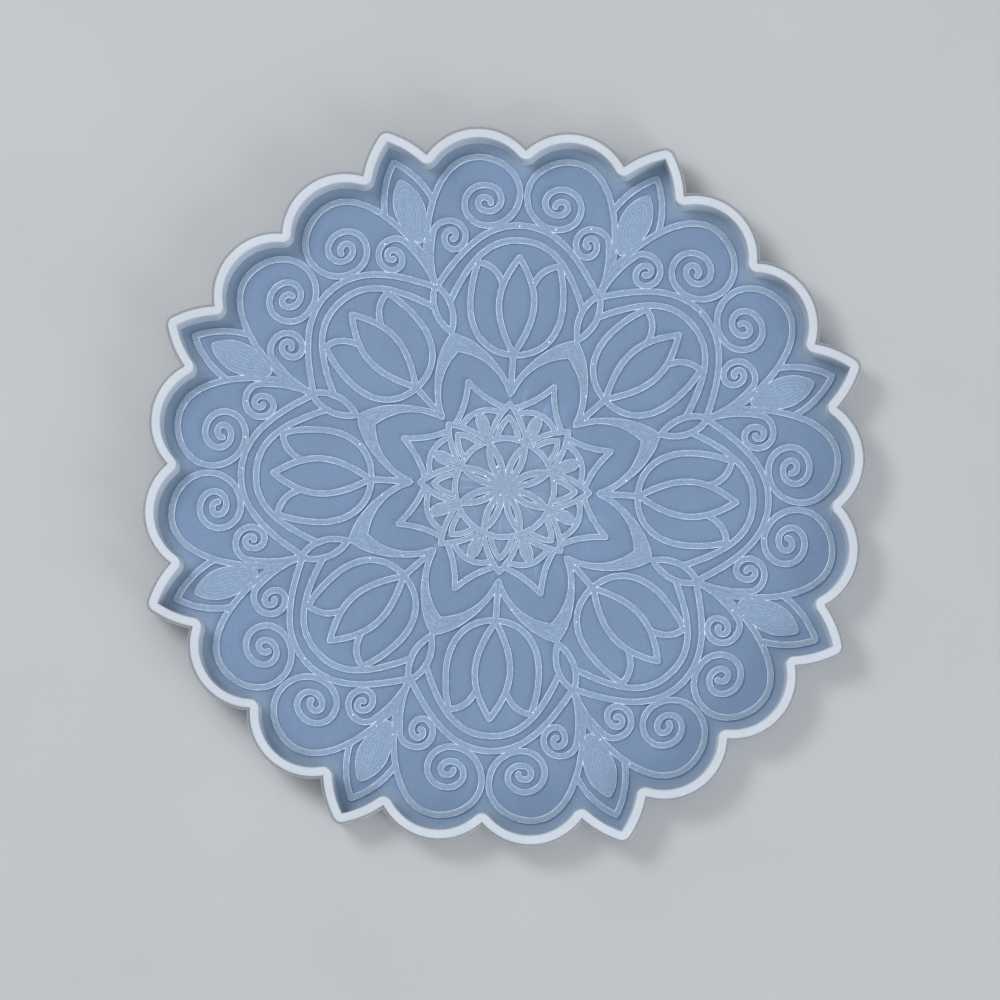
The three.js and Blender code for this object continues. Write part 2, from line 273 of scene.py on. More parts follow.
def relief_shapes():
    """Each shape with the CAD node that it belongs to: a ridge's line with half its width, or a
    filled outline with no width. A shape keeps the ground that it shares with a later one."""
    medallion_outer = bezier([0, 73.4], [9.5, 73.4], [16, 66.5], [22.62, 54.66])
    medallion_inner = bezier([0, 69.2], [7.6, 69.2], [13.2, 65], [18.6, 50.65])
    lens = seen_from_leaf(bezier([0, 59.6], [-3.2, 56], [-3, 50], [0, 46]))
    hub = arc([0, 0], 2.9, 0, 2 * math.pi, 48)
    arch_outer = bezier([0, 23.5], [2.5, 20.9], [4.3, 16.8], [5.2, 12.6])
    arch_inner = bezier([0, 19.6], [1.5, 18.4], [2.6, 16.2], [3, 13.3])
    hub_ring = bezier([0, 13.8], [2.2, 13.8], [3.9, 13.2], [5.2, 12.5])
    shell = seen_from_leaf(bezier([0, 22.4], [-2, 22.4], [-4, 21.6], [-5.4, 20.4]))
    spoke = seen_from_leaf(bezier([0, 2], [-1.65, 5.4], [-1.6, 9], [0, 12.5]))
    drop_side = joined(
        bezier([0, 12.6], [-0.9, 14], [-1.9, 16.5], [-1.8, 19.2]),
        bezier([-1.8, 19.2], [-1.7, 20.6], [-1.2, 22], [0, 22]),
    )
    drop = seen_from_leaf(closed(drop_side))
    tulip_middle = bezier([0, 64.4], [6.5, 55.2], [6.5, 48], [0, 37.4])
    tulip_shoulder = bezier([4.4, 57.2], [5.8, 60.6], [8.5, 62.4], [11.8, 62.5])
    tulip_side = joined(
        bezier([0, 37.1], [8, 37.1], [12.9, 43], [12.9, 52]),
        bezier([12.9, 52], [12.9, 56], [12.4, 59.5], [11.3, 62.6]),
    )
    tulip_stem = np.array([[0, 37.1], [0, 33.4], [0, 29.7]])
    leaf_outline = seen_from_leaf(bezier([0, 96.1], [-3.3, 93], [-6, 88.2], [-6.9, 83.2]))
    leaf_border = joined(
        bezier(*RISING_LINE, share=(LEAF_SHARE, 0)),
        seen_from_leaf(bezier([-3, 75.9], [-2.3, 73.6], [-1.5, 70.8], [-0.9, 68])),
    )
    blade_side = joined(
        bezier([0, 72.2], [-2.2, 72.4], [-4.35, 78.5], [-4.35, 82]),
        bezier([-4.35, 82], [-4.35, 85.8], [-2.9, 88.4], [-0.9, 90.5]),
        bezier([-0.9, 90.5], [-0.6, 90.8], [-0.3, 90.95], [0, 90.95], step=TIP_STEP),
    )
    blade = seen_from_leaf(closed(blade_side))
    stem_side = joined(
        [[0, 61.3], [-0.7, 61.3]],
        bezier([-0.8, 63], [-1.2, 66], [-2.4, 70], [-2.4, 72.6]),
        [[-0.75, 72.4], [0, 70.5]],
    )
    leaf_stem = seen_from_leaf(closed(stem_side))
    small_scroll = joined(
        bezier([23.2, 56.4], [24.7, 60.2], [25.1, 65.2], [24.6, 69.4]),
        bezier([24.6, 69.4], [24.6, 71.7], [22.5, 73.55], [19.9, 73.55]),
        scroll([19.9, 73.55], [15.4, 69.2], [18.5, 65.6], [21.3, 68.7],
               [19.4, 70.95], [18.1, 69.5], [18.9, 68.5]),
    )
    big_scroll = joined(
        bezier(*RISING_LINE, share=(LEAF_SHARE, 1)),
        scroll([12.6, 91.9], [1, 82], [9.9, 72.8], [16.3, 78.8], [10.7, 84.15],
               [6.15, 80.3], [9.7, 76.85], [12.55, 79.1], [10.8, 80.7], [9, 79.2]),
    )
    star = seen_from_leaf(bezier([0, 31.2], [-1.25, 28.5], [-3, 24.9], [-6.9, 21.4]))
    return [
        ("medallion_ring", medallion_outer, RIDGE_HALF),
        ("medallion_ring", medallion_inner, RIDGE_HALF),
        ("medallion_ring", lens, RIDGE_HALF),
        ("petal_ring", petal_loop(), 0),
        ("rosette", hub, 0),
        ("rosette", arch_outer, FINE_HALF),
        ("rosette", arch_inner, FINE_HALF),
        ("rosette", hub_ring, FINE_HALF),
        ("rosette", shell, FINE_HALF),
        ("rosette", spoke, SPOKE_HALF),
        ("rosette", drop, 0),
        ("tulip", tulip_middle, RIDGE_HALF),
        ("tulip", tulip_shoulder, RIDGE_HALF),
        ("tulip", tulip_side, RIDGE_HALF),
        ("tulip", tulip_stem, RIDGE_HALF),
        ("leaf_sprig", leaf_outline, RIDGE_HALF),
        ("leaf_sprig", leaf_border, RIDGE_HALF),
        ("leaf_sprig", blade, 0),
        ("leaf_sprig", leaf_stem, 0),
        ("leaf_sprig", small_scroll, RIDGE_HALF),
        ("scroll", big_scroll, RIDGE_HALF),
        ("star_point", star, FINE_HALF),
    ]


# ---- Plan of the relief in half a sector ----


def wedge_depth(points):
    """How far each point is inside the half sector between the two lines."""
    points = np.asarray(points, float)
    to_leaf = points[:, 1] * math.sin(LEAF_ANGLE) - points[:, 0] * math.cos(LEAF_ANGLE)
    return np.minimum(points[:, 0], to_leaf)


def depth_of(points, line, half):
    """How deep each point is inside a shape, less than 0 outside it."""
    if half:
        return half - distance_to(points, line)
    return np.where(is_inside(points, line), 1, -1) * distance_to(points, line)


def shape_lines(line, half):
    """The lines that a shape's mesh follows: its edge, its shoulder and, on a ridge, its middle."""
    if half:
        return [band_loop(line, half - inset) for inset in SHOULDER_LINES] + [line]
    loop = counterclockwise(line)
    lines = [loop]
    for inset in SHOULDER_LINES[1:]:
        inner = offset_line(np.concatenate([loop[-2:-1], loop, loop[1:2]]), inset)[1:-1]
        lines.append(inner)
    return lines


def near_wedge(line):
    return wedge_depth(line).max() > -0.5


def plan_relief():
    """The relief of half a sector as triangles: their corners, how deep inside the relief's edge
    each corner is, the triangles, and the node that each triangle belongs to."""
    shapes = []
    for owner, line, half in relief_shapes():
        for image in (line, mirrored(line), over_leaf_line(line)):
            if near_wedge(image):
                shapes.append((owner, image, half))

    corners, edges = [], []

    def add_line(line):
        inside = wedge_depth(line) > -1
        for i in range(len(line) - 1):
            if inside[i] or inside[i + 1]:
                edges.append((len(corners), len(corners) + 1))
                corners.extend([line[i], line[i + 1]])

    for _, line, half in shapes:
        for follow in shape_lines(line, half):
            add_line(follow)
    far = CAD_REACH * 1.1
    add_line(np.array([[0, 0], [0, far]]))
    add_line(np.array([[0, 0], [far * math.sin(LEAF_ANGLE), far * math.cos(LEAF_ANGLE)]]))

    across = np.arange(GRID_STEP, far, GRID_STEP)
    grid = np.stack(np.meshgrid(across, across), -1).reshape(-1, 2)
    grid = grid[wedge_depth(grid) > SHOULDER]
    deep = np.zeros(len(grid), bool)
    for _, line, half in shapes:
        if not half:
            deep |= depth_of(grid, line, half) > 2 * SHOULDER
    corners.extend(grid[deep])

    points = [Vector(p) for p in np.asarray(corners, float)]
    planned, _, triangles, _, _, _ = delaunay_2d_cdt(points, edges, [], 0, 1e-4, False)
    xy = np.array([[v.x, v.y] for v in planned])
    triangles = np.array(triangles)
    middles = xy[triangles].mean(axis=1)
    kept = wedge_depth(middles) > 0
    triangles, middles = triangles[kept], middles[kept]

    owners = np.full(len(triangles), "", dtype=object)
    depth = np.zeros(len(xy))
    in_wedge = wedge_depth(xy) > -0.01
    for owner, line, half in shapes:
        free = owners == ""
        covered = depth_of(middles, line, half) > 0
        owners[free & covered] = owner
        depth[in_wedge] = np.maximum(depth[in_wedge], depth_of(xy[in_wedge], line, half))
    kept = owners != ""
    triangles, owners = triangles[kept], owners[kept]
    a, b, c = (xy[triangles[:, i]] for i in range(3))
    clockwise = np.cross(b - a, c - a) < 0
    triangles[clockwise] = triangles[clockwise][:, ::-1]
    return xy, depth, triangles, owners


# ---- Meshes ----


def make_piece(name, corners, faces, material, replaces, values=None):
    """A smooth piece that stands for some CAD nodes, if any, from corners in millimetres. The
    values are numbers for the material, one for each corner."""
    mesh = bpy.data.meshes.new(name)
    mesh.from_pydata((np.asarray(corners) * MM).tolist(), [], [list(map(int, f)) for f in faces])
    for key, value in (values or {}).items():
        attribute = mesh.attributes.new(key, "FLOAT", "POINT")
        attribute.data.foreach_set("value", np.asarray(value, np.float32))
    mesh.validate()
    mesh.shade_smooth()
    mesh.set_sharp_from_angle(angle=SHARP_ANGLE)
    mesh.materials.append(material)
    piece = bpy.data.objects.new(name, mesh)
    bpy.context.scene.collection.objects.link(piece)
    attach(piece, "root")
    if replaces:
        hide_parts(*replaces)


def welded(corners, faces, values):
    """The same mesh with the corners that lie together made one, and no collapsed faces."""
    keys = np.round(np.asarray(corners) / SAME_PLACE).astype(np.int64)
    _, first, same = np.unique(keys, axis=0, return_index=True, return_inverse=True)
    same = same.reshape(-1)
    clean = []
    for face in faces:
        ring = [int(same[i]) for i in face]
        ring = [v for i, v in enumerate(ring) if v != ring[i - 1]]
        if len(set(ring)) == len(ring) > 2:
            clean.append(ring)
    return np.asarray(corners)[first], clean, {k: np.asarray(v)[first] for k, v in values.items()}


def shoulder_drop(depth):
    """How far a ridge's rounded shoulder lies below its flat top."""
    level = np.clip(depth / SHOULDER, 0, 1)
    return SHOULDER_DROP * (1 - np.sqrt(1 - (1 - level) ** 2))


def half_sector_solid(plan, owner):
    """One node's share of the half sector: its rounded top, and the sides down to the floor."""
    xy, depth, triangles, owners = plan
    sides = set()
    for triangle in triangles:
        sides.update((int(a), int(b)) for a, b in zip(triangle, np.roll(triangle, -1)))
    mine = triangles[owners == owner]
    used = np.unique(mine)
    place = {int(v): i for i, v in enumerate(used)}
    top = RELIEF_TOP - shoulder_drop(depth[used])
    corners = np.column_stack([xy[used], top])
    edge = depth[used]
    faces = [[place[int(v)] for v in triangle] for triangle in mine]
    on_border = wedge_depth(xy) < 1e-3
    low, low_corners, low_edge = {}, [], []
    for triangle in mine:
        for a, b in zip(triangle, np.roll(triangle, -1)):
            a, b = int(a), int(b)
            if (b, a) in sides or (on_border[a] and on_border[b]):
                continue
            for v in (a, b):
                if v not in low:
                    low[v] = len(corners) + len(low_corners)
                    low_corners.append([*xy[v], FLOOR_TOP - SKIRT_DEPTH])
                    low_edge.append(0)
            faces.append([place[b], place[a], low[a], low[b]])
    if low_corners:
        corners = np.concatenate([corners, low_corners])
        edge = np.concatenate([edge, low_edge])
    return corners, faces, edge


def copies(solid, images):
    """The solid at each image, a turn and whether it is mirrored first, as one mesh."""
    corners, faces, edge = solid
    all_corners, all_faces, all_edges = [], [], []
    for angle, flip in images:
        start = sum(len(c) for c in all_corners)
        flat = flip(corners[:, :2]) if flip else corners[:, :2]
        all_corners.append(np.column_stack([turned(flat, angle), corners[:, 2]]))
        all_faces += [[start + v for v in (face[::-1] if flip else face)] for face in faces]
        all_edges.append(edge)
    return welded(np.concatenate(all_corners), all_faces, {"edge": np.concatenate(all_edges)})


def build_relief(material):
    plan = plan_relief()
    turns = [-k * SECTOR_ANGLE for k in range(SECTORS)]
    for ring in ("petal_ring", "medallion_ring", "rosette"):
        images = [(angle, flip) for angle in turns for flip in (None, mirrored)]
        corners, faces, values = copies(half_sector_solid(plan, ring), images)
        make_piece("relief_" + ring, corners, faces, material, [ring], values)
    kinds = [
        ("tulip", "tulip", (None, mirrored)),
        ("scroll_right", "scroll", (None,)),
        ("scroll_left", "scroll", (mirrored,)),
        ("star_point", "star_point", (None, over_leaf_line)),
        ("leaf_sprig", "leaf_sprig", (None, over_leaf_line)),
    ]
    for name, owner, flips in kinds:
        solid = half_sector_solid(plan, owner)
        for k, angle in enumerate(turns):
            corners, faces, values = copies(solid, [(angle, flip) for flip in flips])
            node = f"{name}_{k + 1}"
            make_piece("relief_" + node, corners, faces, material, [node], values)


# ---- Air bubbles ----


def build_bubbles(material):
    """Tiny domes on the relief, where air stayed behind at the crossings. Some are missing."""
    chance = np.random.default_rng(BUBBLE_SEED)
    corners, faces = [], []
    for k in range(SECTORS):
        for spot in BUBBLE_SPOTS:
            for flip in (1, -1):
                if chance.random() > BUBBLE_CHANCE:
                    continue
                wander = chance.uniform(-BUBBLE_WANDER, BUBBLE_WANDER, 2)
                middle = np.array(spot) * (flip, 1) + wander
                x, y = turned(middle, -k * SECTOR_ANGLE)
                add_dome(corners, faces, x, y, chance.uniform(*BUBBLE_RADII))
    make_piece("air_bubbles", corners, faces, material, ())


def add_dome(corners, faces, x, y, radius):
    """A round blister that stands a little out of the relief's top."""
    start = len(corners)
    sides = BUBBLE_SIDES
    bottom = RELIEF_TOP - BUBBLE_SINK
    for share, height in BUBBLE_ROWS:
        ring = arc([x, y], radius * share, 0, 2 * math.pi, sides)[:-1]
        corners.extend([*point, bottom + radius * height] for point in ring)
    corners.append([x, y, bottom + radius * BUBBLE_TOP])
    rows = len(BUBBLE_ROWS) - 1
    for row in range(rows):
        for i in range(sides):
            j = (i + 1) % sides
            low, high = start + row * sides, start + (row + 1) * sides
            faces.append([low + i, low + j, high + j, high + i])
    last = start + rows * sides
    faces.extend([last + i, last + (i + 1) % sides, last + sides] for i in range(sides))


# ---- Shell ----


def crossing(centre_a, radius_a, centre_b, radius_b):
    """Where two circles cross, on the side away from the middle of the mould."""
    apart = np.linalg.norm(np.subtract(centre_b, centre_a))
    along = (apart**2 + radius_a**2 - radius_b**2) / (2 * apart)
    across = math.sqrt(radius_a**2 - along**2)
    unit = np.subtract(centre_b, centre_a) / apart
    return np.asarray(centre_a) + unit * along + np.array([-unit[1], unit[0]]) * across


def angle_from(centre, point):
    return math.atan2(point[1] - centre[1], point[0] - centre[0])


def half_rim(offset):
    """The wall's outline in half a sector, moved outwards by the offset. Moved inwards, each
    valley opens into a round arc about its own point. Every offset gives as many points."""
    scallop = SCALLOP_RADIUS + offset
    side = LEAF_SIDE_RADIUS + offset
    leaf_centre = turned(LEAF_SIDE_CENTRE, LEAF_ANGLE)
    to_tip = LEAF_SIDE_RADIUS - LEAF_TIP_ROUNDING
    tip_height = leaf_centre[1] + math.sqrt(to_tip**2 - leaf_centre[0] ** 2)
    rounding = LEAF_TIP_ROUNDING + offset
    if rounding > 0:
        tip_angle = math.atan2(tip_height - leaf_centre[1], -leaf_centre[0])
        tip = arc([0, tip_height], rounding, tip_angle, math.pi / 2, 6)
    else:
        sharp = leaf_centre[1] + math.sqrt(side**2 - leaf_centre[0] ** 2)
        tip_angle = math.atan2(sharp - leaf_centre[1], -leaf_centre[0])
        tip = np.tile([0, sharp], (7, 1))
    side_end = tip_angle - LEAF_ANGLE

    if offset > 0:
        tulip_valley = [0, SCALLOP_CENTRE[1] + math.sqrt(scallop**2 - SCALLOP_CENTRE[0] ** 2)]
        leaf_valley = crossing(SCALLOP_CENTRE, scallop, LEAF_SIDE_CENTRE, side)
    else:
        tulip_valley = [0, VALLEY_RADIUS]
        leaf_valley = crossing(SCALLOP_CENTRE, SCALLOP_RADIUS, LEAF_SIDE_CENTRE, LEAF_SIDE_RADIUS)
    inner = max(-offset, 0)
    scallop_start = angle_from(SCALLOP_CENTRE, tulip_valley)
    scallop_end = angle_from(SCALLOP_CENTRE, leaf_valley)
    side_start = angle_from(LEAF_SIDE_CENTRE, leaf_valley)
    half = [
        arc(tulip_valley, inner, -math.pi / 2, scallop_start - math.pi, 5),
        arc(SCALLOP_CENTRE, scallop, scallop_start, scallop_end, 26),
        arc(leaf_valley, inner, scallop_end - math.pi, side_start - math.pi, 8),
        arc(LEAF_SIDE_CENTRE, side, side_start, side_end, 16),
        seen_from_leaf(tip),
    ]
    return np.concatenate(half)


def whole_rim(offset):
    """The outline all the way round, clockwise from the first tulip line."""
    half = half_rim(offset)
    sector = np.concatenate([half, over_leaf_line(half)[::-1]])
    return np.concatenate([turned(sector, -k * SECTOR_ANGLE) for k in range(SECTORS)])


def loft(profile):
    """The rim's outline at each pair of an offset and a height."""
    loops = []
    for offset, height in profile:
        outline = whole_rim(offset)
        loops.append(np.column_stack([outline, np.full(len(outline), height)]))
    return loops


def skin(loops, insets, closed_ends=False):
    """Faces between each loop and the next, facing out when the profile runs up the outside. The
    value inset is the distance in from the wall's outside."""
    count = len(loops[0])
    corners = np.concatenate(loops)
    values = {"inset": np.repeat(insets, count)}
    faces = []
    rows = list(range(len(loops)))
    after = rows[1:] + rows[:1] if closed_ends else rows[1:]
    for low, high in zip(rows, after):
        for i in range(count):
            j = (i + 1) % count
            faces.append([low * count + j, low * count + i, high * count + i, high * count + j])
    return welded(corners, faces, values)


def shell_profile():
    """The shell's section, from its underside, up the outside, over the rim and down inside."""
    bend = EDGE_ROUNDING
    tip = bend * (1 - math.sqrt(0.5))
    inside = -WALL_THICKNESS
    foot = -WALL_FOOT
    fillet_bend = FILLET * (1 - math.sqrt(0.5))
    wall_height = RIM_TOP - bend - FLOOR_TOP - FILLET
    wall = [(inside - DRAFT * s, RIM_TOP - bend - wall_height * s) for s in WALL_ROWS]
    return [
        (-bend, 0), (-tip, tip), (0, bend),
        *[(0, height) for height in OUTSIDE_ROWS], (0, RIM_TOP - bend),
        (-tip, RIM_TOP - tip), (-bend, RIM_TOP),
        *[(-inset, RIM_TOP) for inset in RIM_ROWS], (inside + bend, RIM_TOP),
        (inside + tip, RIM_TOP - tip), (inside, RIM_TOP - bend),
        *wall,
        (foot - fillet_bend, FLOOR_TOP + fillet_bend), (foot - FILLET, FLOOR_TOP),
    ]


def build_shell(material):
    profile = shell_profile()
    loops = loft(profile)
    insets = [-offset for offset, _ in profile]
    floor = loops[-1]
    under = loops[0]
    reach = np.linalg.norm(floor[0, :2])
    loops += [floor * (s, s, 1) for s in FLOOR_ROWS]
    insets += [insets[-1] + reach * (1 - s) for s in FLOOR_ROWS]
    loops = [under * (s, s, 1) for s in reversed(FLOOR_ROWS)] + loops
    insets = [reach * (1 - s) for s in reversed(FLOOR_ROWS)] + insets
    corners, faces, values = skin(loops, insets)
    make_piece("mould_shell", corners, faces, material, ["floor_plate", "rim_wall"], values)


def build_lip(material):
    """The clear film of silicone that squeezed out between the halves of the maker's own form."""
    middle = (RIM_TOP + LIP_BOTTOM) / 2
    bead = (RIM_TOP - LIP_BOTTOM) / 2
    half_film = bead * 0.6
    half_bead = bead * 0.85
    at_wall, neck, shoulder = 0.001, LIP_REACH - bead, LIP_REACH - bead * 0.3
    profile = [
        (at_wall, middle - half_film), (neck, middle - half_film),
        (shoulder, middle - half_bead), (LIP_REACH, middle), (shoulder, middle + half_bead),
        (neck, middle + half_film), (at_wall, middle + half_film),
    ]
    loops = loft(profile)
    corners, faces, values = skin(loops, [-offset for offset, _ in profile], closed_ends=True)
    make_piece("flash_lip", corners, faces, material, ["outer_lip"], values)


# ---- Materials ----


class Finish:
    """A material under construction: its node tree, and short ways to add to it."""

    def __init__(self, name):
        self.material = bpy.data.materials.new(name)
        self.material.use_nodes = True
        self.tree = self.material.node_tree
        self.shader = self.tree.nodes["Principled BSDF"]

    def link(self, value, socket):
        """Sets the socket to a number or colour, or links it to another node's output."""
        if isinstance(value, bpy.types.NodeSocket):
            self.tree.links.new(value, socket)
        else:
            socket.default_value = value

    def math(self, operation, first, second=0.0):
        node = self.tree.nodes.new("ShaderNodeMath")
        node.operation = operation
        self.link(first, node.inputs[0])
        self.link(second, node.inputs[1])
        return node.outputs[0]

    def attribute(self, name):
        node = self.tree.nodes.new("ShaderNodeAttribute")
        node.attribute_name = name
        return node.outputs["Fac"]

    def position(self):
        return self.tree.nodes.new("ShaderNodeTexCoord").outputs["Object"]

    def height(self):
        """Height above the underside, in millimetres."""
        node = self.tree.nodes.new("ShaderNodeSeparateXYZ")
        self.link(self.position(), node.inputs[0])
        return self.math("MULTIPLY", node.outputs["Z"], 1 / MM)

    def from_axis(self):
        """Distance from the mould's middle, in millimetres."""
        node = self.tree.nodes.new("ShaderNodeVectorMath")
        node.operation = "LENGTH"
        self.link(self.position(), node.inputs[0])
        return self.math("MULTIPLY", node.outputs["Value"], 1 / MM)

    def round_axis(self, per_radian, per_mm):
        """A place that changes quickly round the mould's middle and slowly outwards."""
        apart = self.tree.nodes.new("ShaderNodeSeparateXYZ")
        self.link(self.position(), apart.inputs[0])
        angle = self.math("ARCTAN2", apart.outputs["Y"], apart.outputs["X"])
        place = self.tree.nodes.new("ShaderNodeCombineXYZ")
        self.link(self.math("MULTIPLY", angle, per_radian), place.inputs["X"])
        self.link(self.math("MULTIPLY", self.from_axis(), per_mm), place.inputs["Y"])
        return place.outputs[0]

    def noise_at(self, place, scale, detail=2.0, roughness=0.5):
        node = self.tree.nodes.new("ShaderNodeTexNoise")
        self.link(place, node.inputs["Vector"])
        node.inputs["Scale"].default_value = scale
        node.inputs["Detail"].default_value = detail
        node.inputs["Roughness"].default_value = roughness
        return node.outputs["Fac"]

    def noise(self, size, detail=2.0, roughness=0.5):
        """Soft noise from 0 to 1 with features about size millimetres across."""
        return self.noise_at(self.position(), 1 / (size * MM), detail, roughness)

    def mottle(self, size, low, high, detail=2.0):
        """Soft noise that mostly stays between low and high."""
        return self.ramp(self.noise(size, detail), 0.3, 0.7, low, high)

    def waves(self, distance, pitch):
        """A smooth wave from -1 to 1, once every pitch."""
        return self.math("SINE", self.math("MULTIPLY", distance, 2 * math.pi / pitch))

    def ramp(self, value, start, end, low=0.0, high=1.0):
        """Goes smoothly from low to high as the value goes from start to end."""
        node = self.tree.nodes.new("ShaderNodeMapRange")
        node.interpolation_type = "SMOOTHSTEP"
        self.link(value, node.inputs["Value"])
        keys = ("From Min", "From Max", "To Min", "To Max")
        for key, number in zip(keys, (start, end, low, high)):
            node.inputs[key].default_value = number
        return node.outputs[0]

    def mix(self, share, first, second):
        node = self.tree.nodes.new("ShaderNodeMix")
        node.data_type = "RGBA"
        self.link(share, node.inputs["Factor"])
        self.link(first, node.inputs["A"])
        self.link(second, node.inputs["B"])
        return node.outputs["Result"]

    def shaded(self, colour, brightness):
        """The colour made lighter or darker by a factor."""
        node = self.tree.nodes.new("ShaderNodeVectorMath")
        node.operation = "SCALE"
        self.link(colour, node.inputs[0])
        self.link(brightness, node.inputs["Scale"])
        return node.outputs[0]

    def bump(self, height, depth):
        """Small relief: height 0 to 1 over a depth in millimetres."""
        node = self.tree.nodes.new("ShaderNodeBump")
        self.link(height, node.inputs["Height"])
        node.inputs["Distance"].default_value = depth * MM
        return node.outputs[0]

    def set(self, **sockets):
        """The finished material, with the shader's sockets set by their names."""
        for key, value in sockets.items():
            name = key.replace("_", " ").title().replace("Ior", "IOR")
            self.link(value, self.shader.inputs[name])
        return self.material


SILICONE_IOR = 1.41

FLOOR_BLUE = (0.187, 0.276, 0.43, 1)
# Painted sheen: the lighter floor tone in the middle of the mould.
MIDDLE_SHEEN_BLUE = (0.222, 0.308, 0.455, 1)
# Painted light: the lighter, greyer floor along the foot of the wall.
FOOT_WALL_LIGHT_BLUE = (0.238, 0.325, 0.44, 1)
# Partly the wall's own tone, partly painted shade: the inner wall's grey towards the floor.
WALL_GREY_AND_SHADE = (0.54, 0.60, 0.68, 1)
WALL_WHITE = (0.62, 0.67, 0.74, 1)
RIM_WHITE = (0.625, 0.675, 0.735, 1)
RIDGE_BLUE = (0.262, 0.366, 0.53, 1)
# Painted light: the greyer ridge tone beside the white wall.
RIDGE_WALL_LIGHT_GREY = (0.285, 0.37, 0.495, 1)
# Painted sheen: the lighter ridge tone in the middle of the mould.
RIDGE_SHEEN_BLUE = (0.29, 0.395, 0.55, 1)
# Painted highlight: the bright line along the ridges' edges.
EDGE_HIGHLIGHT_PAINT = (0.68, 0.81, 0.97, 1)
# Painted highlight: the near-white glint colour of the air bubbles.
BUBBLE_GLINT_WHITE = (0.95, 0.985, 1)
LIP_CLEAR = (0.30, 0.34, 0.40, 1)
# Partly the thicker bead's own tone, partly a painted edge highlight.
LIP_EDGE_HIGHLIGHT = (0.55, 0.60, 0.66, 1)
STAGE_GREY = (0.55, 0.555, 0.565)

# Where a look fades, from one distance to another from the mould's middle, in millimetres.
# Painted sheen on the floor fades out over this span.
FLOOR_SHEEN_ZONE = (14, 27)
HAIRLINES = (20, 34)
HUB = (2.5, 5)
STRONG_LINES = (18, 34)
# Painted sheen on the ridges fades out over this span.
RIDGE_SHEEN_ZONE = (16, 30)
RIDGE_WALL_LIGHT_ZONE = (84, 93)

# How far apart the cutter's lines are, on ridges and on filled shapes, in millimetres.
FINE_PASS = 0.56
WIDE_PASS = 0.88


def grain(finish, amount):
    """A brightness close to 1: cloudy over some millimetres, and dusty at the scale of the
    silicone's fine bubbles."""
    cloud = finish.mottle(18, 1 - amount, 1 + amount, 3.0)
    dust = finish.mottle(0.55, 1 - amount, 1 + amount, 1.0)
    return finish.math("MULTIPLY", cloud, dust)


def shell_material():
    """Blue floor with the cutter's hairlines in the middle, lighter there as a painted sheen and
    lighter along the wall's foot as painted wall light; whitish walls, greyer towards the floor
    partly as painted shade, brightest along the rim."""
    finish = Finish("silicone_shell")
    inset = finish.attribute("inset")
    height = finish.height()
    # Partly the wall's own tone, partly painted shade: the inner wall goes from grey at the floor
    # to white near the rim.
    up_wall = finish.ramp(height, FLOOR_TOP + 1, RIM_TOP - 1)
    wall = finish.mix(up_wall, WALL_GREY_AND_SHADE, WALL_WHITE)
    on_rim = finish.ramp(inset, WALL_THICKNESS - 0.25, WALL_THICKNESS, 1, 0)
    wall = finish.mix(on_rim, wall, RIM_WHITE)
    # Painted light: the floor along the wall's foot is lighter and greyer. It lifts the shade that
    # the wall casts there with the light the white wall throws back.
    wall_light_share = finish.ramp(inset, WALL_FOOT + 0.6, WALL_THICKNESS + 5)
    floor = finish.mix(wall_light_share, FOOT_WALL_LIGHT_BLUE, FLOOR_BLUE)
    from_axis = finish.from_axis()
    # Painted sheen: the floor is painted lighter in the middle of the mould, where the light's
    # broad reflection falls.
    floor = finish.mix(finish.ramp(from_axis, *FLOOR_SHEEN_ZONE, 1, 0), floor, MIDDLE_SHEEN_BLUE)
    hairs = finish.ramp(finish.noise_at(finish.round_axis(9, 0.06), 1.0), 0.56, 0.72)
    hairs = finish.math("MULTIPLY", hairs, finish.ramp(from_axis, *HAIRLINES, 0.28, 0.0))
    hairs = finish.math("ADD", hairs, 1)
    on_floor = finish.ramp(inset, WALL_FOOT, WALL_FOOT + 0.25)
    colour = finish.mix(on_floor, wall, finish.shaded(floor, hairs))
    colour = finish.shaded(colour, grain(finish, 0.035))
    rough = finish.mottle(1.5, 0.38, 0.5)
    bump = finish.bump(finish.noise(0.6, 2.0), 0.012)
    return finish.set(base_color=colour, roughness=rough, normal=bump, ior=SILICONE_IOR)


